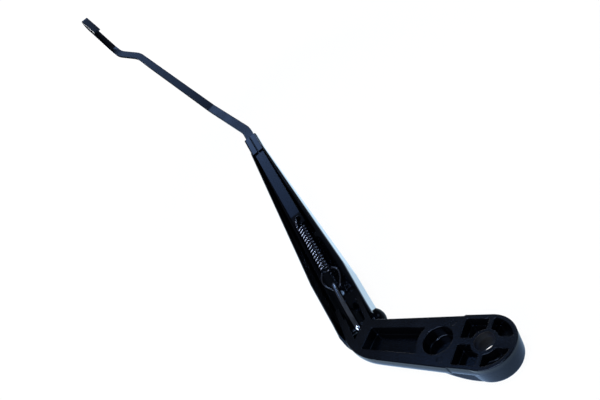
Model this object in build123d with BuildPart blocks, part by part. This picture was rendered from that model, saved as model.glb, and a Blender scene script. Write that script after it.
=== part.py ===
"""Wiper arm: cast head, folded channel, bent strip rod, tension spring and its hooked link.

Frame in millimetres: origin on the spindle axis at the head's underside rim, +Z out of the spindle bore
(towards the car), +X in plan along the channel towards the blade, +Y to its side.
"""
from math import cos, radians, sin, sqrt, tan
import os

from build123d import *

os.makedirs("parts", exist_ok=True)

# Shared layout
head_yaw = 43.7
arm_tilt = 19.7
hinge_x = 79.7
hinge_y = 58.0
hinge_z = -9.5
running_gap = 0.10
seat_gap = 0.02

# Cast head
end_r = 17.3
end_top_r = 14.9
end_h = 14.4
neck_h = 12.0
neck_crown = 9.5
end_round = 2.5
rim_round = 0.5
floor_round = 0.6
shoulder_u = (11.0, 23.0)
shoulder_inset = 0.1
head_u = 66.0
neck_end_u = 70.0
neck_tip = (84.0, -10.0, 4.0)
bend_inset = 0.15
bend_lap = 4.0
bend_lead = 15.0
neck_step_u = 16.5
neck_right_v = (-16.3, -14.8)
neck_left_v = (16.8, 14.6)
mouth_r = 5.7
bore_r = 4.9
mouth_depth = 4.2
nut_floor = 9.0
nut_r = 9.4
boss_r = 7.9
pocket_r = 14.8
pocket_depth = 6.2
pocket_corner = 0.8
cross_rib_u = 15.0
rib_left = 4.3
rib_right = 7.2
rib_side = 2.8
blind_u = 28.3
blind_r = 9.1
blind_depth = 7.5
trough_ring_r = 13.7
trough_far_u = 80.6
trough_right_v = (-8.7, -8.1)
trough_left_v = (9.4, 7.4)
trough_depth = 6.8
trough_corner = 1.2
ejector_r = 1.9
ejector_depth = 0.35
ejector_uv = ((22.4, -11.6), (22.4, 12.2))

# Hinge knuckle with two prongs
prong_half = 10.7
prong_inner = 6.7
prong_reach = 23.0
prong_round = 1.6
knuckle_h = 14.6
knuckle_heel = 9.0
knuckle_ramp = (1.5, 7.5)
pad_inner = 4.9
pad_reach = 8.5
cavity_wall_u = 90.0
knuckle_boss_r = 5.4
knuckle_boss = 1.0
prong_stop_gap = 0.15

# Folded channel
sheet = 1.5
hinge_half = 13.7
hinge_flat = 8.0
channel_half = 14.6
channel_flat = 48.0
crimp_start = 229.5
crimp_lead = 0.5
channel_end = crimp_start - crimp_lead
channel_end_half = 7.3
channel_rear = 6.2
rear_floor = 6.0
free_edge_hinge = 14.45
free_edge_end = 8.1
floor_hinge = -13.0
fold_r = 3.0
crimp_length = 27.0
crimp_overlap = 2.0
crimp_round = 1.6
crimp_wall = 2.2
seam = 0.5
seam_mouth = 1.8

# Rivet of the hinge
pin_r = 2.5
dome_r = 6.4
dome_rim = 1.8
dome_h = 2.7
sink = 1.0

# Strip rod
rod_w = 9.6
rod_t = 3.0
rod_edge_r = 0.5
rod_level = 2.5
rod_start = 113.9
rod_eye_s = 119.5
rod_eye_r = 2.8
tab_length = 9.0
tab_bend = 9.0
bend_s = 273.6
edge_bend = 15.3
edge_bend_r = 35.0
flat_bend_near = 2.1
run_near = 80.7
flat_bend = 9.5
flat_bend_r = 15.0
run_far = 174.5
jog_bend = 19.6
jog_back = 20.5
jog_r = 40.0
jog_straight = 25.2
tip_twist = 7.0
twist_run = 12.7
tip_bend = 11.2
tip_run = 60.1
hook_bend = 177.2
hook_r = 7.7
hook_leg = 33.5

# Spring, link and anchor
wire_r = 1.1
coil_r = 4.2
coil_start = 57.5
coil_turns = 15.0
coil_pitch = 3.4
loop_r = 4.4
loop_sweep = 55.0
loop_half = 6.6
loop_shoulder = 4.6
hook_rise = 3.4
hook_ease = 0.9
link_r = 2.2
anchor_r = 1.8
anchor_short = 0.3
anchor_dx = -3.2
anchor_dz = 5.4
link_length = 36.5
link_arch = 8.0

hinge = Vector(hinge_x, hinge_y, hinge_z)
along = Vector(cos(radians(arm_tilt)), 0, sin(radians(arm_tilt)))
across = Vector(0, 1, 0)
above = Vector(-sin(radians(arm_tilt)), 0, cos(radians(arm_tilt)))
side_plane = Plane(origin=hinge, x_dir=along, z_dir=-across)
head_plane = Plane.XY.rotated((0, 0, head_yaw))


def on_head(u, v):
    """Plan point of the head, u from the spindle towards the hinge and v to its left."""
    c, s = cos(radians(head_yaw)), sin(radians(head_yaw))
    return (u * c - v * s, u * s + v * c)


head_line = Vector(*on_head(1, 0))
head_side = Vector(*on_head(0, 1))

def floor_edges(solid, depth):
    """Edges round the flat floors at one depth below the rims."""
    return solid.faces().filter_by_position(Axis.Z, -depth - 0.01, -depth + 0.01).edges()


def on_arm(s, y, w):
    """Point of the arm, s from the hinge along it, y to the side and w above the hinge."""
    return hinge + along * s + across * y + above * w


def cavity_wall_x(y):
    """Plan x of the cavity's end wall, square to the head's own line, y from the hinge."""
    return (cavity_wall_u - (hinge_y + y) * sin(radians(head_yaw))) / cos(radians(head_yaw))


# Knuckle: the bent end of the head, shaped from its plan and its side
bend_start = on_head(head_u, neck_left_v[1] - bend_inset)
bend_r = (hinge_y + prong_half - bend_start[1]) / (1 - cos(radians(head_yaw)))
bend_end = (bend_start[0] + bend_r * sin(radians(head_yaw)), hinge_y + prong_half)
half_turn = radians(head_yaw) / 2
bend_mid = (
    bend_end[0] - bend_r * sin(half_turn),
    bend_end[1] - bend_r * (1 - cos(half_turn)),
)
bend_centre = Vector(bend_end[0], bend_end[1] - bend_r, 0)
crown_z = neck_crown - neck_h
tip_x = hinge_x + prong_reach
right_corner = on_head(neck_end_u, neck_right_v[1])
right_start = (hinge_x - knuckle_heel, hinge_y - prong_half)
bend_root = on_head(head_u - bend_lap, 0)
floor_inner = floor_hinge + sheet
stop_z = hinge_z + floor_inner / cos(radians(arm_tilt)) + prong_reach * tan(radians(arm_tilt))
heel_x = hinge_x + knuckle_heel
heel_z = hinge_z + floor_inner / cos(radians(arm_tilt)) + knuckle_heel * tan(radians(arm_tilt))

with BuildPart() as knuckle:
    with BuildSketch():
        with BuildLine():
            ThreePointArc(bend_start, bend_mid, bend_end)
            Line(bend_end, (tip_x, hinge_y + prong_half))
            Line((tip_x, hinge_y + prong_half), (tip_x, hinge_y - prong_half))
            Line((tip_x, hinge_y - prong_half), right_start)
            Line(right_start, right_corner)
            Line(right_corner, bend_root)
            Line(bend_root, bend_start)
        make_face()
    extrude(amount=-knuckle_h)
    with BuildSketch(Plane.XZ.offset(-hinge_y)):
        with BuildLine():
            Polyline(
                (0, 1),
                (tip_x + 1, 1),
                (tip_x + 1, stop_z + prong_stop_gap),
                (tip_x, stop_z + prong_stop_gap),
                (heel_x, max(heel_z + prong_stop_gap, -knuckle_h)),
                (hinge_x - knuckle_ramp[0], -knuckle_h),
                (hinge_x - knuckle_ramp[1], -neck_h),
                (0, -neck_h),
                close=True,
            )
        make_face()
    extrude(amount=2 * end_r, both=True, mode=Mode.INTERSECT)
    # Crown of the neck carried round the outside of the bend
    with BuildSketch(Plane(origin=bend_centre, x_dir=across, z_dir=(1, 0, 0))):
        with BuildLine():
            ThreePointArc(
                (bend_r, crown_z),
                (bend_r - neck_crown * (1 - cos(radians(45))), crown_z - neck_crown * sin(radians(45))),
                (bend_r - neck_crown, -neck_h),
            )
            Polyline(
                (bend_r - neck_crown, -neck_h),
                (bend_r - neck_crown, -2 * neck_h),
                (bend_r + 1, -2 * neck_h),
                (bend_r + 1, crown_z),
                (bend_r, crown_z),
            )
        make_face()
    revolve(axis=Axis(bend_centre, (0, 0, 1)), revolution_arc=head_yaw + bend_lead, mode=Mode.SUBTRACT)

with BuildPart() as round_end:
    with Locations((0, 0, -end_h)):
        Cone(end_top_r, end_r, end_h, align=(Align.CENTER, Align.CENTER, Align.MIN))
    fillet(round_end.faces().sort_by(Axis.Z)[0].edges(), end_round)

# Shoulder: the neck's wide crown closing up to the small round of the round end
with BuildPart() as shoulder:
    for u, half, depth, radius in (
        (-1.0, end_top_r - shoulder_inset, end_h - shoulder_inset, end_round),
        (shoulder_u[0], end_top_r + shoulder_inset, end_h - 2 * shoulder_inset, end_round + shoulder_inset),
        (shoulder_u[1], -neck_right_v[0] - shoulder_inset, neck_h - shoulder_inset, neck_crown),
    ):
        with BuildSketch(Plane(origin=(*on_head(u, 0), 0), x_dir=head_side, z_dir=head_line)):
            with BuildLine():
                corner = radius * cos(radians(45))
                Line((-half, -rim_round - 1), (-half, radius - depth))
                ThreePointArc(
                    (-half, radius - depth),
                    (radius - half - corner, radius - depth - corner),
                    (radius - half, -depth),
                )
                Line((radius - half, -depth), (half - radius, -depth))
                ThreePointArc(
                    (half - radius, -depth),
                    (half - radius + corner, radius - depth - corner),
                    (half, radius - depth),
                )
                Line((half, radius - depth), (half, -rim_round - 1))
                Line((half, -rim_round - 1), (-half, -rim_round - 1))
            make_face()
    loft()

# Head: round end, crowned neck and knuckle in one casting, with its pockets and bores
with BuildPart() as head:
    with BuildSketch(head_plane):
        with BuildLine():
            Polyline(
                (0, -end_r + 0.1),
                (neck_step_u, -end_r + 0.3),
                (neck_step_u + 0.6, neck_right_v[0]),
                (neck_end_u, neck_right_v[1]),
                (neck_tip[0], neck_tip[1]),
                (neck_tip[0], neck_tip[2]),
                (head_u, neck_left_v[1]),
                (neck_step_u + 0.6, neck_left_v[0]),
                (neck_step_u, end_r - 0.9),
                (0, end_r - 0.4),
                close=True,
            )
        make_face()
    extrude(amount=-neck_h)
    fillet(head.faces().sort_by(Axis.Z)[0].edges(), neck_crown)
    add(shoulder.part)
    add(round_end.part)
    add(knuckle.part)

    with BuildSketch(head_plane) as pocket_plan:
        Circle(pocket_r)
        with Locations((cross_rib_u / 2, 0)):
            Rectangle(cross_rib_u, 2 * pocket_r - 1.0)
        with Locations((end_r + cross_rib_u, 0)):
            Rectangle(2 * end_r, 4 * end_r, mode=Mode.SUBTRACT)
        Circle(boss_r, mode=Mode.SUBTRACT)
        with Locations((end_r / 2, 0)):
            Rectangle(end_r, rib_left, mode=Mode.SUBTRACT)
        with Locations((-end_r / 2, 0)):
            Rectangle(end_r, rib_right, mode=Mode.SUBTRACT)
        Rectangle(rib_side, 2 * end_r, mode=Mode.SUBTRACT)
        fillet(pocket_plan.vertices(), pocket_corner)
    extrude(amount=-pocket_depth, mode=Mode.SUBTRACT)
    fillet(floor_edges(head, pocket_depth), floor_round)

    with BuildSketch(head_plane):
        with Locations((blind_u, 0)):
            Circle(blind_r)
    extrude(amount=-blind_depth, mode=Mode.SUBTRACT)
    fillet(floor_edges(head, blind_depth), 2 * floor_round)
    with BuildSketch(head_plane) as trough:
        with BuildLine():
            Polyline(
                (blind_u, trough_right_v[0]),
                (trough_far_u, trough_right_v[1]),
                (trough_far_u, trough_left_v[1]),
                (blind_u, trough_left_v[0]),
                close=True,
            )
        make_face()
        with Locations((blind_u, 0)):
            Circle(trough_ring_r, mode=Mode.SUBTRACT)
        fillet(trough.vertices(), trough_corner)
    extrude(amount=-trough_depth, mode=Mode.SUBTRACT)
    fillet(floor_edges(head, trough_depth), floor_round)

    with BuildSketch():
        with BuildLine():
            Polyline(
                (cavity_wall_x(pad_inner), hinge_y + pad_inner),
                (cavity_wall_x(-prong_inner), hinge_y - prong_inner),
                (tip_x + 2, hinge_y - prong_inner),
                (tip_x + 2, hinge_y + prong_inner),
                (hinge_x + pad_reach, hinge_y + prong_inner),
                (hinge_x + pad_reach, hinge_y + pad_inner),
                close=True,
            )
        make_face()
    extrude(amount=-2 * knuckle_h, mode=Mode.SUBTRACT)
    prong_tips = head.edges().filter_by(Axis.Z).group_by(Axis.X)[-1]
    fillet(prong_tips, prong_round)
    fillet(head.faces().filter_by(Axis.Z).sort_by(Axis.Z)[-1].edges(), rim_round)
    with BuildSketch(head_plane):
        with Locations(*ejector_uv):
            Circle(ejector_r)
    extrude(amount=-ejector_depth, mode=Mode.SUBTRACT)

    for side in (-1, 1):
        with BuildSketch(Plane(origin=(hinge_x, hinge_y + side * prong_half, hinge_z), z_dir=(0, side, 0))):
            Circle(knuckle_boss_r)
        extrude(amount=knuckle_boss)
    with BuildSketch(Plane(origin=hinge, z_dir=across)):
        Circle(pin_r + running_gap)
    extrude(amount=40, both=True, mode=Mode.SUBTRACT)
    with BuildSketch(Plane(origin=hinge + Vector(anchor_dx, 0, anchor_dz), z_dir=across)):
        Circle(anchor_r + seat_gap)
    extrude(amount=prong_half, both=True, mode=Mode.SUBTRACT)

    with BuildSketch():
        Circle(mouth_r)
    extrude(amount=-mouth_depth, mode=Mode.SUBTRACT)
    with Locations((0, 0, -nut_floor)):
        Cone(
            bore_r,
            mouth_r,
            nut_floor - mouth_depth,
            align=(Align.CENTER, Align.CENTER, Align.MIN),
            mode=Mode.SUBTRACT,
        )
    with BuildSketch(Plane.XY.offset(-nut_floor)):
        Circle(nut_r)
    extrude(amount=-end_h, mode=Mode.SUBTRACT)
head.part.label = "head"

# Anchor pin pressed across the prongs
with BuildPart() as anchor_pin:
    with BuildSketch(Plane(origin=hinge + Vector(anchor_dx, 0, anchor_dz), z_dir=across)):
        Circle(anchor_r)
    extrude(amount=prong_half - anchor_short, both=True)
anchor_pin.part.label = "anchor_pin"

# Channel: one folded sheet, drawn as an outer and an inner skin lofted through four sections
stations = (
    (-3 * channel_rear, hinge_half, floor_hinge, free_edge_hinge + 0.5, fold_r),
    (hinge_flat, hinge_half, floor_hinge, free_edge_hinge - 0.2, fold_r),
    (channel_flat, channel_half, floor_hinge, free_edge_hinge - 1.3, fold_r),
    (channel_end, channel_end_half, rod_level - rod_t / 2 - sheet, free_edge_end, fold_r - 0.6),
)
crimp_half = rod_w / 2 + seat_gap + crimp_wall
crimp_low = rod_level - rod_t / 2 - seat_gap - sheet
crimp_high = rod_level + rod_t / 2 + seat_gap + sheet

with BuildPart() as channel:
    for s, half, low, high, radius in stations:
        with BuildSketch(Plane(origin=on_arm(s, 0, 0), x_dir=across, z_dir=along)) as outer:
            with BuildLine():
                Polyline((-half, low), (half, low), (half, high), (-half, high), close=True)
            make_face()
            fillet(outer.vertices().group_by(Axis.Z)[0], radius)
    loft(ruled=True)
    for s, half, low, high, radius in stations:
        with BuildSketch(Plane(origin=on_arm(s, 0, 0), x_dir=across, z_dir=along)) as inner:
            with BuildLine():
                Polyline(
                    (-half + sheet, low + sheet),
                    (half - sheet, low + sheet),
                    (half - sheet, high + 9),
                    (-half + sheet, high + 9),
                    close=True,
                )
            make_face()
            fillet(inner.vertices().group_by(Axis.Z)[0], radius - sheet + 0.4)
    loft(ruled=True, mode=Mode.SUBTRACT)

    # Rear ends of the walls, rounded about the rivet
    with BuildSketch(side_plane):
        with BuildLine():
            Polyline(
                (0, -channel_rear),
                (rear_floor, floor_hinge - 0.2),
                (rear_floor, -40),
                (-60, -40),
                (-60, 40),
                (-1.5, 40),
                (-1.5, free_edge_hinge - 0.4),
                (-channel_rear, 5.0),
                (-channel_rear, 0),
            )
            ThreePointArc(
                (-channel_rear, 0),
                (-channel_rear * cos(radians(45)), -channel_rear * sin(radians(45))),
                (0, -channel_rear),
            )
        make_face()
    extrude(amount=30, both=True, mode=Mode.SUBTRACT)

    # Crimp: the flanges closed over the strip with a seam between them
    crimp_plane = Plane(origin=on_arm(crimp_start - crimp_overlap, 0, 0), x_dir=across, z_dir=along)
    with BuildSketch(crimp_plane) as crimp:
        with BuildLine():
            Polyline(
                (-crimp_half, crimp_low),
                (crimp_half, crimp_low),
                (crimp_half, crimp_high),
                (-crimp_half, crimp_high),
                close=True,
            )
        make_face()
        fillet(crimp.vertices(), crimp_round)
    extrude(amount=crimp_length + crimp_overlap)
    with BuildSketch(Plane(origin=on_arm(crimp_start - 3 * crimp_overlap, 0, 0), x_dir=across, z_dir=along)):
        with Locations((0, rod_level)):
            Rectangle(rod_w + 2 * seat_gap, rod_t + 2 * seat_gap)
        with Locations((0, crimp_high)):
            Rectangle(seam, 2 * sheet)
        with BuildLine():
            Polyline(
                (-seam_mouth / 2, crimp_high + 0.1),
                (0, crimp_high - sheet),
                (seam_mouth / 2, crimp_high + 0.1),
                close=True,
            )
        make_face()
    extrude(amount=crimp_length + 5 * crimp_overlap, mode=Mode.SUBTRACT)
    with BuildSketch(Plane(origin=hinge, z_dir=across)):
        Circle(pin_r + seat_gap)
    extrude(amount=2 * channel_half, both=True, mode=Mode.SUBTRACT)
    with Locations(Plane(origin=hinge + across * hinge_half, z_dir=across).location):
        Cone(
            pin_r + seat_gap,
            pin_r + sink + seat_gap,
            sink,
            align=(Align.CENTER, Align.CENTER, Align.MAX),
            mode=Mode.SUBTRACT,
        )
channel.part.label = "channel"

# Hinge rivet: a domed head on the right wall, the other end spread flush into a countersink
rivet_right = hinge_half + seat_gap + dome_rim
rivet_left = hinge_half - seat_gap
dome_ball = (dome_r**2 + dome_h**2) / (2 * dome_h)
dome_edge = sqrt(dome_ball**2 - (dome_ball - dome_h / 2) ** 2)
with BuildPart() as hinge_pin:
    with BuildSketch(Plane(origin=hinge, x_dir=(1, 0, 0), z_dir=(0, 0, 1))):
        with BuildLine():
            ThreePointArc(
                (0, -rivet_right - dome_h),
                (dome_edge, -rivet_right - dome_h / 2),
                (dome_r, -rivet_right),
            )
            Polyline(
                (dome_r, -rivet_right),
                (dome_r, -rivet_right + dome_rim),
                (pin_r, -rivet_right + dome_rim),
                (pin_r, rivet_left - sink),
                (pin_r + sink, rivet_left),
                (0, rivet_left),
                (0, -rivet_right - dome_h),
            )
        make_face()
    revolve(axis=Axis(hinge, across))
hinge_pin.part.label = "hinge_pin"

# Strip rod, formed from a table of straight runs and bends like the real one
edge_cut = edge_bend_r * tan(radians(edge_bend / 2))
flat_cut = flat_bend_r * tan(radians(flat_bend / 2))
run_tab = bend_s - rod_start - tab_length - flat_bend_r * sin(radians(tab_bend)) - edge_cut
bend_table = (
    ("run", tab_length, 0.0),
    ("flat", flat_bend_r, -tab_bend),
    ("run", run_tab, 0.0),
    ("edge", edge_bend_r, edge_bend),
    ("flat", flat_bend_r, flat_bend_near),
    ("run", run_near - edge_cut - flat_cut, 0.0),
    ("flat", flat_bend_r, flat_bend),
    ("run", run_far - flat_cut, 0.0),
    ("edge", jog_r, jog_bend),
    ("run", jog_straight, 0.0),
    ("edge", jog_r, -jog_back),
    ("twist", twist_run, tip_twist),
    ("flat", flat_bend_r, tip_bend),
    ("run", tip_run, 0.0),
    ("flat", hook_r, hook_bend),
    ("run", hook_leg, 0.0),
)
tab_turn = radians(tab_bend)
tab_dir = along * cos(tab_turn) + above * sin(tab_turn)
tab_up = above * cos(tab_turn) - along * sin(tab_turn)
tab_end = on_arm(rod_start + tab_length, 0, rod_level - flat_bend_r * (1 - cos(tab_turn)))
position = tab_end - tab_dir * tab_length
heading, up = tab_dir, tab_up

with BuildPart() as rod:
    for kind, size, angle in bend_table:
        left = up.cross(heading)
        with BuildSketch(Plane(origin=position, x_dir=left, z_dir=heading)):
            RectangleRounded(rod_w, rod_t, rod_edge_r)
        if kind == "run":
            extrude(amount=size)
            position = position + heading * size
        elif kind == "twist":
            position = position + heading * size
            up = up.rotate(Axis(position, heading), angle)
            with BuildSketch(Plane(origin=position, x_dir=up.cross(heading), z_dir=heading)):
                RectangleRounded(rod_w, rod_t, rod_edge_r)
            loft()
        else:
            inward = (left if kind == "edge" else up) * (1 if angle > 0 else -1)
            centre = position + inward * size
            turn = Axis(centre, heading.cross(inward))
            revolve(axis=turn, revolution_arc=abs(angle))
            position = centre + (position - centre).rotate(turn, abs(angle))
            heading, up = heading.rotate(turn, abs(angle)), up.rotate(turn, abs(angle))
    with BuildSketch(Plane(origin=on_arm(rod_eye_s, 0, rod_level), z_dir=above)):
        Circle(rod_eye_r)
    extrude(amount=6, both=True, mode=Mode.SUBTRACT)
rod.part.label = "rod"

# Link and spring lie on the line from the anchor to the rod's eye
anchor_s = anchor_dx * along.X + anchor_dz * along.Z
anchor_w = anchor_dx * above.X + anchor_dz * above.Z
eye_s = rod_eye_s - rod_eye_r + wire_r + hook_ease
pull = (on_arm(eye_s, 0, rod_level) - on_arm(anchor_s, 0, anchor_w)).normalized()
lift = Vector(-pull.Z, 0, pull.X)
link_plane = Plane(origin=on_arm(anchor_s, 0, anchor_w), x_dir=pull, z_dir=pull.cross(lift))
hook_mid_r = anchor_r + running_gap + link_r
arch_chord = link_length + 2 * hook_mid_r * sin(radians(link_arch))
arch_rise = arch_chord / 2 * tan(radians(link_arch / 2))


def round_point(centre_l, angle):
    """Point on a hook's middle line at an angle about its centre on the pull line."""
    return (centre_l + hook_mid_r * cos(radians(angle)), hook_mid_r * sin(radians(angle)))


with BuildPart() as link:
    with BuildLine(link_plane) as link_path:
        ThreePointArc(round_point(0, 205), round_point(0, 150), round_point(0, 90 + link_arch))
        ThreePointArc(
            round_point(0, 90 + link_arch),
            (link_length / 2, hook_mid_r * cos(radians(link_arch)) + arch_rise),
            round_point(link_length, 90 - link_arch),
        )
        ThreePointArc(
            round_point(link_length, 90 - link_arch),
            round_point(link_length, 0),
            round_point(link_length, -110),
        )
    with BuildSketch(Plane(origin=link_path.line @ 0, z_dir=link_path.line % 0)):
        Circle(link_r)
    sweep(path=link_path.line)
link.part.label = "link"

# Spring: close coil with a long loop for the link and a hook through the rod's eye, wound along its own Z
coil_length = coil_turns * coil_pitch
coil_top = coil_start + coil_length
loop_l = link_length + hook_mid_r - link_r - wire_r - running_gap
loop_cos, loop_sin = cos(radians(loop_sweep)), sin(radians(loop_sweep))
loop_side = loop_r * loop_sin
loop_lift = loop_r * (1 - loop_cos)
eye_l = (on_arm(eye_s, 0, rod_level) - link_plane.origin).length
with BuildPart() as wound:
    with BuildLine() as coil_path:
        Helix(coil_pitch, coil_length, coil_r, center=(0, 0, coil_start))
    with BuildSketch(Plane(origin=coil_path.line @ 0, z_dir=coil_path.line % 0)):
        Circle(wire_r)
    sweep(path=coil_path.line, is_frenet=True)

    with BuildLine(Plane.XZ) as loop_path:
        Spline(
            (coil_r, coil_start),
            (loop_half, coil_start - loop_shoulder),
            (loop_side, loop_l + loop_lift),
            tangents=((0.5, -1.0), (-loop_cos, -loop_sin)),
        )
        ThreePointArc((loop_side, loop_l + loop_lift), (0, loop_l), (-loop_side, loop_l + loop_lift))
        Spline(
            (-loop_side, loop_l + loop_lift),
            (-loop_half, coil_start - loop_shoulder),
            (-coil_r, coil_start - wire_r),
            tangents=((-loop_cos, loop_sin), (0.8, 1.0)),
        )
    with BuildSketch(Plane(origin=loop_path.line @ 0, z_dir=loop_path.line % 0)):
        Circle(wire_r)
    sweep(path=loop_path.line)
    with Locations((coil_r, 0, coil_start)):
        Sphere(wire_r)

    with BuildLine() as hook_path:
        Spline(
            (coil_r, 0, coil_top),
            (coil_r * 0.72, hook_rise * 0.5, (coil_top + eye_l) / 2),
            (coil_r * 0.2, hook_rise, eye_l - 1.8),
            (0, 0, eye_l),
            (0, -hook_rise, eye_l - 1.2),
            tangents=((0, 0, 1), (0, -0.7, -0.7)),
        )
    with BuildSketch(Plane(origin=(coil_r, 0, coil_top), z_dir=(0, 0, 1))):
        Circle(wire_r)
    sweep(path=hook_path.line)
    with Locations((coil_r, 0, coil_top)):
        Sphere(wire_r)

with BuildPart() as spring:
    with Locations(Plane(origin=link_plane.origin, x_dir=across, z_dir=pull).location):
        add(wound.part)
spring.part.label = "spring"

export_step(head.part, "parts/head.step")
export_step(anchor_pin.part, "parts/anchor_pin.step")
export_step(channel.part, "parts/channel.step")
export_step(hinge_pin.part, "parts/hinge_pin.step")
export_step(rod.part, "parts/rod.step")
export_step(link.part, "parts/link.step")
export_step(spring.part, "parts/spring.step")
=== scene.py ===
"""Wiper arm lying underside up: its finishes, the spring's coil, studio light and the camera.

Everything is in metres in the part's own frame: origin on the spindle axis at the head's underside rim,
+Z out of the spindle bore, +X in plan along the channel towards the blade.
"""
import logging
import math
from dataclasses import dataclass
from enum import Enum

import bpy
from mathutils import Matrix, Vector


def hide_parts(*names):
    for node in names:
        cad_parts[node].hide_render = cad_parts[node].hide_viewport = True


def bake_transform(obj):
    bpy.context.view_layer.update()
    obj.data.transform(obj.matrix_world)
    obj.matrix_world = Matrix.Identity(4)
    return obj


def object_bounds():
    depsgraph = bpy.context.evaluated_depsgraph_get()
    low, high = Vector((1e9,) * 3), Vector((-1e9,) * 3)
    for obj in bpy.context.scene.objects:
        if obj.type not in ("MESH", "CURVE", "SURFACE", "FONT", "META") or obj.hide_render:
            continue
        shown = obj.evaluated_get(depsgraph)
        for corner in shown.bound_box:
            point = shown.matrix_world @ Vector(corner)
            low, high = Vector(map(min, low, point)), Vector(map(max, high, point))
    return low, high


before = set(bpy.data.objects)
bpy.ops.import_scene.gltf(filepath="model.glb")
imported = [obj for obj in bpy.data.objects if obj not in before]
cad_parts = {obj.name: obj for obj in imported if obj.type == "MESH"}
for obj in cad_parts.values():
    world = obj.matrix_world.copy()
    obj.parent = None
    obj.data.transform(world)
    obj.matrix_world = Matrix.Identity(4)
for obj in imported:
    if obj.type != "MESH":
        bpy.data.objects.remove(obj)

log = logging.getLogger("wiper_arm")
CAD_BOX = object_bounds()

Pair = tuple[float, float]
Triple = tuple[float, float, float]
Opaque = tuple[float, float, float, float]
Socket = bpy.types.NodeSocket

# Shares that rise from nothing to all, or fall from all to nothing
RISE: Pair = (0.0, 1.0)
FALL: Pair = (1.0, 0.0)

# Factors that keep X and Y and flatten Z
PLAN: Triple = (1.0, 1.0, 0.0)

# Ranges of a noise pattern that turn into a change of tone or of gloss
CLOUD_TONE: Pair = (0.35, 0.7)
CLOUD_GLOSS: Pair = (0.3, 0.7)
STAIN_TONE: Pair = (0.4, 0.65)

# Colours of the light
WHITE: Triple = (1.0, 1.0, 1.0)
DAY: Triple = (0.94, 0.97, 1.0)
PALE: Triple = (0.66, 0.82, 1.0)
COOL: Triple = (0.36, 0.58, 1.0)


def opaque(colour: Triple) -> Opaque:
    """Colour with full cover."""
    return (*colour, 1.0)


class Grain(Enum):
    """Kinds of fine surface relief, each with its pattern size per metre and its height in metres."""

    CAST = (900.0, 0.00007)
    SHEET = (420.0, 0.000004)
    STRIP = (700.0, 0.000025)
    DRAWN = (2600.0, 0.00002)

    @property
    def scale(self) -> float:
        """Pattern size of the grain."""
        return self.value[0]

    @property
    def height(self) -> float:
        """Relief height of the grain."""
        return self.value[1]


class Output(Enum):
    """Ends of a node tree that a shader is joined to."""

    SURFACE = "ShaderNodeOutputMaterial"
    SKY = "ShaderNodeOutputWorld"


class NodeBoard:
    """An emptied node tree with short ways to add and join nodes."""

    def __init__(self, tree: bpy.types.NodeTree) -> None:
        """Empty the tree.

        Args:
            tree: node tree of a material or of the world.
        """
        self.tree = tree
        self.tree.nodes.clear()

    def add(self, kind: str, settings: dict | None = None, **inputs: object) -> bpy.types.Node:
        """Add a node.

        Args:
            kind: the node's type name.
            settings: properties to set on the node.
            inputs: values or output sockets, by socket name with underscores for spaces, or by i and a number.

        Returns:
            The new node.
        """
        node = self.tree.nodes.new(kind)
        for key, value in (settings or {}).items():
            setattr(node, key, value)
        for key, value in inputs.items():
            socket = node.inputs[int(key[1:])] if key[1:].isdigit() else node.inputs[key.replace("_", " ")]
            if isinstance(value, Socket):
                self.tree.links.new(value, socket)
            else:
                socket.default_value = value
        return node

    def place(self) -> Socket:
        """Object coordinates of the surface."""
        return self.add("ShaderNodeTexCoord").outputs["Object"]

    def noise(self, place: Socket, scale: float, octaves: float) -> Socket:
        """Add a noise pattern.

        Args:
            place: coordinates that it reads.
            scale: pattern size per metre.
            octaves: number of finer layers.

        Returns:
            The pattern's value.
        """
        return self.add("ShaderNodeTexNoise", Vector=place, Scale=scale, Detail=octaves).outputs["Fac"]

    def spread(self, value: Socket, span: Pair, to: Pair) -> Socket:
        """Map a value from one range to another, clamped.

        Args:
            value: the incoming value.
            span: the incoming range.
            to: the outgoing range.

        Returns:
            The mapped value.
        """
        node = self.add("ShaderNodeMapRange", i0=value, i1=span[0], i2=span[1], i3=to[0], i4=to[1])
        return node.outputs["Result"]

    def math(self, operation: str, first: Socket, second: Socket | float) -> Socket:
        """Join two values with an operation.

        Args:
            operation: the math node's operation.
            first: first value.
            second: second value.

        Returns:
            The result.
        """
        return self.add("ShaderNodeMath", {"operation": operation}, i0=first, i1=second).outputs[0]

    def reach(self, place: Socket, stretch: Triple, shift: Triple = (0.0, 0.0, 0.0)) -> Socket:
        """Measure how far a place is from the origin after it is stretched and shifted.

        Args:
            place: coordinates of the surface.
            stretch: factor along each axis.
            shift: move along each axis.

        Returns:
            The distance.
        """
        kind = "ShaderNodeVectorMath"
        moved = self.add(kind, {"operation": "MULTIPLY_ADD"}, i0=place, i1=stretch, i2=shift).outputs[0]
        return self.add(kind, {"operation": "LENGTH"}, i0=moved).outputs["Value"]

    def tint(self, share: Socket, first: object, second: object) -> Socket:
        """Mix two colours.

        Args:
            share: how much of the second colour shows.
            first: colour or socket.
            second: colour or socket.

        Returns:
            The mixed colour.
        """
        node = self.add("ShaderNodeMix", {"data_type": "RGBA"}, i0=share, i6=first, i7=second)
        return node.outputs[2]

    def relief(self, height: Socket, distance: float, normal: Socket | None = None) -> Socket:
        """Turn a pattern into surface relief.

        Args:
            height: the pattern.
            distance: the relief's height in metres.
            normal: the normal that the relief is laid on, if it isn't the mesh's own.

        Returns:
            The normal with the relief.
        """
        node = self.add("ShaderNodeBump", Height=height, Distance=distance, Strength=1.0)
        if normal is not None:
            self.tree.links.new(normal, node.inputs["Normal"])
        return node.outputs["Normal"]

    def blend(self, share: Socket, first: Socket, second: Socket) -> Socket:
        """Mix two shaders.

        Args:
            share: how much of the second shader shows.
            first: shader.
            second: shader.

        Returns:
            The mixed shader.
        """
        return self.add("ShaderNodeMixShader", i0=share, i1=first, i2=second).outputs[0]

    def close(self, shader: Socket, output: Output) -> None:
        """Join the shader to the tree's end."""
        self.add(output.value, Surface=shader)


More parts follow.
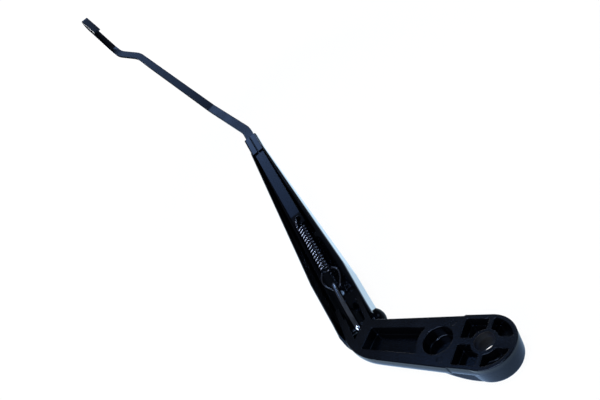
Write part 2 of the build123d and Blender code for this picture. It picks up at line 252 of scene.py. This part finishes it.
def new_material(name: str) -> bpy.types.Material:
    """Start a material that takes nodes.

    Args:
        name: the material's name.

    Returns:
        The new material.
    """
    material = bpy.data.materials.new(name)
    material.use_nodes = True
    return material


@dataclass(frozen=True)
class BlackCoat:
    """Black paint on metal: cloudy gloss, fine grain, rounded paint edges and a bluish shine.

    The film is a clear layer over it that shines only at a low angle.
    """

    name: str
    colour: Triple
    light_colour: Triple
    roughness: Pair
    grain: Grain
    gloss: float = 0.5
    shine_colour: Triple = (0.45, 0.62, 1.0)
    film: float = 0.0
    film_index: float = 1.1
    film_roughness: float = 0.05
    cloud_scale: float = 60.0
    octaves: float = 3.0
    edge: float = 0.0003
    edge_samples: int = 6

    def skin(self, board: NodeBoard, place: Socket) -> dict[str, Socket]:
        """Make what varies over the surface.

        Args:
            board: the material's board.
            place: coordinates of the surface.

        Returns:
            Names of the shader's sockets with the values that feed them.
        """
        cloud = board.noise(place, self.cloud_scale, self.octaves)
        tone = board.spread(cloud, CLOUD_TONE, RISE)
        return {
            "Base_Color": board.tint(tone, opaque(self.colour), opaque(self.light_colour)),
            "Roughness": board.spread(cloud, CLOUD_GLOSS, self.roughness),
        }

    def make(self) -> bpy.types.Material:
        """Build the paint's material.

        Returns:
            The finished material.
        """
        material = new_material(self.name)
        board = NodeBoard(material.node_tree)
        place = board.place()
        fine = board.noise(place, self.grain.scale, self.octaves)
        edge = board.add("ShaderNodeBevel", {"samples": self.edge_samples}, Radius=self.edge)
        shader = board.add(
            "ShaderNodeBsdfPrincipled",
            Normal=board.relief(fine, self.grain.height, edge.outputs["Normal"]),
            Specular_IOR_Level=self.gloss,
            Specular_Tint=opaque(self.shine_colour),
            Coat_Weight=self.film,
            Coat_IOR=self.film_index,
            Coat_Roughness=self.film_roughness,
            **self.skin(board, place),
        )
        board.close(shader.outputs[0], Output.SURFACE)
        return material


@dataclass(frozen=True)
class CastCoat(BlackCoat):
    """Paint on the casting, with a bare dull bore on the Z axis, and pockets below the rims that are smoother
    and painted darker as shade.
    """

    bore_radius: Pair = (0.0058, 0.0059)
    bore_colour: Triple = (0.042, 0.037, 0.036)
    bore_roughness: float = 0.55
    pocket_depth: Pair = (-0.004, -0.001)
    pocket_end: Pair = (0.066, 0.070)
    # metallic share in the pockets; over the near-black base it darkens them as painted shade
    pocket_shade_metal: float = 0.35
    pocket_smooth: float = 0.65

    def skin(self, board: NodeBoard, place: Socket) -> dict[str, Socket]:
        """Add the bore, and the pockets' smoothness and painted shade, to what varies over the surface.

        Args:
            board: the material's board.
            place: coordinates of the surface.

        Returns:
            Names of the shader's sockets with the values that feed them.
        """
        skin = super().skin(board, place)
        bare = self.bore(board, place)
        pocket_shade_and_smooth = self.pockets(board, place)
        smoothing = board.spread(pocket_shade_and_smooth, RISE, (1.0, self.pocket_smooth))
        smooth = board.math("MULTIPLY", skin["Roughness"], smoothing)
        return {
            "Base_Color": board.tint(bare, skin["Base_Color"], opaque(self.bore_colour)),
            # painted shade: the metallic share over the near-black base darkens the pockets
            "Metallic": board.math("MAXIMUM", bare, board.math("MULTIPLY", pocket_shade_and_smooth, self.pocket_shade_metal)),
            "Roughness": board.math("MAXIMUM", smooth, board.math("MULTIPLY", bare, self.bore_roughness)),
        }

    def bore(self, board: NodeBoard, place: Socket) -> Socket:
        """Mask the bore, which is cut after painting.

        Args:
            board: the material's board.
            place: coordinates of the surface, with the bore on the Z axis.

        Returns:
            Share of bare metal, 1 inside the bore.
        """
        return board.spread(board.reach(place, PLAN), self.bore_radius, FALL)

    def pockets(self, board: NodeBoard, place: Socket) -> Socket:
        """Mask what lies below the rims, where the skin is smoother and painted darker as shade in the
        recesses.

        Args:
            board: the material's board.
            place: coordinates of the surface, with the rims at height 0.

        Returns:
            Share that grows with depth, and is 0 from the knuckle on.
        """
        parts = board.add("ShaderNodeSeparateXYZ", i0=place).outputs
        below = board.spread(parts["Z"], self.pocket_depth, FALL)
        return board.math("MULTIPLY", below, board.spread(parts["X"], self.pocket_end, FALL))


@dataclass(frozen=True)
class SteelWire:
    """Drawn steel wire with fine scratches and blued stains."""

    name: str
    colour: Triple
    dark_colour: Triple
    roughness: Pair
    grain: Grain = Grain.DRAWN
    grain_octaves: float = 2.0
    stain_scale: float = 180.0
    stain_octaves: float = 4.0

    def make(self) -> bpy.types.Material:
        """Build the wire's material.

        Returns:
            The finished material.
        """
        material = new_material(self.name)
        board = NodeBoard(material.node_tree)
        place = board.place()
        stain = board.noise(place, self.stain_scale, self.stain_octaves)
        fine = board.noise(place, self.grain.scale, self.grain_octaves)
        tone = board.spread(stain, STAIN_TONE, RISE)
        shader = board.add(
            "ShaderNodeBsdfPrincipled",
            Base_Color=board.tint(tone, opaque(self.colour), opaque(self.dark_colour)),
            Metallic=1.0,
            Roughness=board.spread(stain, CLOUD_GLOSS, self.roughness),
            Normal=board.relief(fine, self.grain.height),
        )
        board.close(shader.outputs[0], Output.SURFACE)
        return material


CAST_BLACK = CastCoat(
    "cast_black", (0.0008, 0.0009, 0.0016), (0.0014, 0.0016, 0.0026), (0.18, 0.26), Grain.CAST, gloss=0.35
)
GLOSS_BLACK = BlackCoat(
    "gloss_black", (0.0006, 0.0007, 0.0013), (0.0010, 0.0012, 0.0020), (0.09, 0.15), Grain.SHEET,
    film=1.0, edge=0.0001,
)
RIVET_BLACK = BlackCoat(
    "rivet_black", (0.0008, 0.0009, 0.0015), (0.0014, 0.0016, 0.0025), (0.22, 0.30), Grain.SHEET, gloss=0.04
)
SATIN_BLACK = BlackCoat(
    "satin_black", (0.0008, 0.0010, 0.0018), (0.0014, 0.0017, 0.0028), (0.16, 0.24), Grain.STRIP
)
SPRING_STEEL = SteelWire("spring_steel", (0.14, 0.16, 0.215), (0.075, 0.085, 0.12), (0.12, 0.19))
LINK_STEEL = SteelWire("link_steel", (0.30, 0.355, 0.48), (0.17, 0.205, 0.28), (0.10, 0.16))


def dress(node: str, material: bpy.types.Material) -> None:
    """Give a CAD node its material.

    Args:
        node: the node's name.
        material: the finish for all its faces.
    """
    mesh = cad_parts[node].data
    mesh.materials.clear()
    mesh.materials.append(material)
    log.info("dressed %s with %s", node, material.name)


@dataclass
class CastHead:
    """Die-cast head with its spindle boss, pockets and forked knuckle, and the pin across the fork."""

    finish: BlackCoat = CAST_BLACK
    pin_finish: BlackCoat = SATIN_BLACK

    def build(self) -> None:
        """Dress the casting and its pin."""
        dress("head", self.finish.make())
        dress("anchor_pin", self.pin_finish.make())


@dataclass
class Channel:
    """Folded channel with its rivet and the strip rod crimped into it."""

    sheet_finish: BlackCoat = GLOSS_BLACK
    rivet_finish: BlackCoat = RIVET_BLACK
    strip_finish: BlackCoat = SATIN_BLACK

    def build(self) -> None:
        """Dress the sheet, the rivet and the strip."""
        dress("channel", self.sheet_finish.make())
        dress("hinge_pin", self.rivet_finish.make())
        dress("rod", self.strip_finish.make())


@dataclass
class SpringSet:
    """Tension spring and the link that hooks it to the head."""

    eye: Triple = (0.19061, 0.05800, 0.03287)
    loop: Triple = (0.11189, 0.05800, 0.00736)
    merge: float = 0.00001
    smooth_angle: float = math.radians(40.0)
    wire_finish: SteelWire = SPRING_STEEL
    link_finish: SteelWire = LINK_STEEL

    def coil(self) -> None:
        """Make a smooth-shaded copy of the spring's coil, with its own finish, in place of the spring."""
        bpy.ops.object.select_all(action="DESELECT")
        coil = bpy.data.objects.new("coil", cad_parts["spring"].data.copy())
        bpy.context.scene.collection.objects.link(coil)
        bpy.context.view_layer.objects.active = coil
        coil.select_set(True)
        bpy.ops.object.mode_set(mode="EDIT")
        bpy.ops.mesh.select_all(action="SELECT")
        bpy.ops.mesh.remove_doubles(threshold=self.merge)
        bpy.ops.object.mode_set(mode="OBJECT")
        bpy.ops.object.shade_smooth_by_angle(angle=self.smooth_angle)
        coil.data.materials.clear()
        coil.data.materials.append(self.wire_finish.make())
        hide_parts("spring")
        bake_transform(coil)
        log.info("made coil")

    def build(self) -> None:
        """Make the coil and dress the link."""
        self.coil()
        dress("link", self.link_finish.make())


@dataclass(frozen=True)
class WhiteGround:
    """White floor sheet with a faint soft shadow for the camera and a painted pale blue glow in the paint's
    gloss.

    The camera sees the white studio through it, so that it hides no arm folded below it. The painted glow
    fades with the distance from the arm and is dimmed by a painted shadow beside the head's round end.
    """

    name: str = "floor_white"
    colour: Triple = (0.78, 0.86, 0.95)
    glow_colour: Triple = (0.60, 0.81, 1.0)
    stretch: Triple = (0.4, 1.0, 0.0)
    shift: Triple = (-0.12, -0.04, 0.0)
    clear_reach: Pair = (0.3, 0.9)
    clear_share: Pair = (0.92, 1.0)
    glow_reach: Pair = (0.22, 0.50)
    glow_level: Pair = (1.28, 0.12)
    glow_share: float = 0.92
    # painted shadow on the glow beside the head's round end: its Y range, its level and where it ends along X
    painted_shadow_y: Pair = (-0.024, 0.006)
    painted_shadow_level: Pair = (0.36, 1.0)
    painted_shadow_end_x: Pair = (0.04, 0.10)

    def glow(self, board: NodeBoard, place: Socket, reach: Socket) -> Socket:
        """Make the painted glow that the paint mirrors, dimmed by a painted shadow beside the head's round
        end.

        Args:
            board: the material's board.
            place: coordinates of the floor.
            reach: distance from the arm.

        Returns:
            The glow's shader.
        """
        spot = board.add("ShaderNodeSeparateXYZ", i0=place).outputs
        # painted shadow: the glow is dimmed beside the head's round end
        beside = board.spread(spot["Y"], self.painted_shadow_y, self.painted_shadow_level)
        past = board.spread(spot["X"], self.painted_shadow_end_x, RISE)
        # painted glow: brightest near the arm, fading with the distance
        level = board.spread(reach, self.glow_reach, self.glow_level)
        level = board.math("MULTIPLY", level, board.math("MAXIMUM", beside, past))
        return board.add("ShaderNodeEmission", Color=opaque(self.glow_colour), Strength=level).outputs[0]

    def make(self) -> bpy.types.Material:
        """Build the floor's material.

        Returns:
            The finished material.
        """
        material = new_material(self.name)
        board = NodeBoard(material.node_tree)
        path = board.add("ShaderNodeLightPath").outputs
        place = board.place()
        reach = board.reach(place, self.stretch, self.shift)
        seen = board.math("MAXIMUM", path["Is Camera Ray"], path["Is Transmission Ray"])
        clear = board.math("MULTIPLY", seen, board.spread(reach, self.clear_reach, self.clear_share))
        clear = board.math("MAXIMUM", clear, path["Is Shadow Ray"])
        matt = board.add("ShaderNodeBsdfDiffuse", Color=opaque(self.colour)).outputs[0]
        shine = board.math("MULTIPLY", path["Is Glossy Ray"], self.glow_share)
        sheet = board.blend(shine, matt, self.glow(board, place, reach))
        gap = board.add("ShaderNodeBsdfTransparent").outputs[0]
        board.close(board.blend(clear, sheet, gap), Output.SURFACE)
        return material


@dataclass(frozen=True)
class StudioSky:
    """World that is white for the camera, and for all other rays a dim studio, a little lighter low down."""

    name: str = "studio"
    white_level: float = 1.045
    colour: Triple = DAY
    heights: Pair = (0.02, 0.22)
    levels: Pair = (0.25, 0.10)

    def hang(self) -> None:
        """Build the world and give it to the scene."""
        world = bpy.data.worlds.new(self.name)
        world.use_nodes = True
        bpy.context.scene.world = world
        board = NodeBoard(world.node_tree)
        path = board.add("ShaderNodeLightPath").outputs
        aim = board.add("ShaderNodeTexCoord").outputs["Generated"]
        height = board.add("ShaderNodeSeparateXYZ", i0=aim).outputs["Z"]
        above = board.math("GREATER_THAN", height, 0.0)
        level = board.math("MULTIPLY", board.spread(height, self.heights, self.levels), above)
        white = board.add("ShaderNodeBackground", Color=opaque(WHITE), Strength=self.white_level).outputs[0]
        soft = board.add("ShaderNodeBackground", Color=opaque(self.colour), Strength=level).outputs[0]
        board.close(board.blend(path["Is Camera Ray"], soft, white), Output.SKY)


@dataclass(frozen=True)
class Softbox:
    """One soft lamp with an even face.

    Its glow is the face's brightness, where 1 is white paper in full light.
    """

    name: str
    place: Triple
    aim: Triple
    width: float
    height: float
    glow: float
    colour: Triple = DAY

    def hang(self) -> None:
        """Hang the lamp and turn it to its aim."""
        data = bpy.data.lights.new(self.name, "AREA")
        data.shape = "RECTANGLE"
        data.size = self.width
        data.size_y = self.height
        data.energy = self.glow * math.pi * self.width * self.height
        data.color = self.colour
        lamp = bpy.data.objects.new(self.name, data)
        bpy.context.scene.collection.objects.link(lamp)
        lamp.location = self.place
        lamp.rotation_euler = (Vector(self.aim) - Vector(self.place)).to_track_quat("-Z", "Y").to_euler()
        log.info("hung %s", self.name)


SOFTBOXES = (
    Softbox("overhead_near", (1.315, 0.33, 1.95), (1.315, 0.33, 0.0), 0.47, 0.50, 0.80, COOL),
    Softbox("overhead_far", (1.79, 0.33, 1.95), (1.79, 0.33, 0.0), 0.42, 0.50, 1.60, COOL),
    Softbox("behind_left", (-1.05, 1.25, 1.05), (0.2, 0.05, 0.05), 1.6, 0.9, 7.0),
    Softbox("behind_right", (-0.8, -1.6, 1.05), (0.2, 0.05, 0.05), 1.0, 0.8, 2.6, PALE),
    Softbox("over_camera", (-0.75, 0.15, 1.9), (0.05, 0.03, 0.0), 0.34, 0.34, 45.0),
    Softbox("low_front", (2.6, 0.35, 0.30), (0.2, 0.05, 0.05), 1.6, 0.35, 3.0),
    Softbox("high_right", (1.56, -0.51, 1.56), (0.33, 0.06, 0.10), 0.35, 0.35, 5.0, PALE),
)


@dataclass
class Studio:
    """White ground, soft lamps and the camera at the photograph's angle."""

    ground_finish: WhiteGround = WhiteGround()
    sky: StudioSky = StudioSky()
    lamps: tuple[Softbox, ...] = SOFTBOXES
    floor_size: float = 30.0
    floor_gap: float = 0.0002
    camera_place: Triple = (-0.21280, -0.00022, 0.20737)
    camera_right: Triple = (-0.15271, -0.78059, -0.60610)
    camera_up: Triple = (0.35239, -0.61600, 0.70453)
    lens: float = 32.47
    sensor: float = 36.0
    clip: Pair = (0.01, 100.0)

    def ground(self) -> None:
        """Lay the floor just below the part."""
        low = CAD_BOX[0][2] - self.floor_gap
        bpy.ops.object.select_all(action="DESELECT")
        bpy.ops.mesh.primitive_plane_add(size=self.floor_size, location=(0.0, 0.0, low))
        floor = bpy.context.object
        floor.name = "floor"
        floor.data.materials.append(self.ground_finish.make())
        log.info("laid floor")

    def camera(self) -> None:
        """Set the camera where the photograph was taken from."""
        data = bpy.data.cameras.new("camera")
        data.lens = self.lens
        data.sensor_width = self.sensor
        data.sensor_fit = "HORIZONTAL"
        data.clip_start, data.clip_end = self.clip
        camera = bpy.data.objects.new("camera", data)
        bpy.context.scene.collection.objects.link(camera)
        right = Vector(self.camera_right).normalized()
        up = Vector(self.camera_up)
        up = (up - right * up.dot(right)).normalized()
        turn = Matrix((right, up, right.cross(up))).transposed().to_4x4()
        camera.matrix_world = Matrix.Translation(self.camera_place) @ turn
        bpy.context.scene.camera = camera

    def build(self) -> None:
        """Set up the whole studio."""
        bpy.context.scene.view_settings.view_transform = "Standard"
        self.ground()
        self.sky.hang()
        for lamp in self.lamps:
            lamp.hang()
        self.camera()


def main() -> None:
    """Build every sub-assembly in order."""
    logging.basicConfig(level=logging.INFO, format="%(message)s")
    CastHead().build()
    Channel().build()
    SpringSet().build()
    Studio().build()


if __name__ == "__main__":
    main()
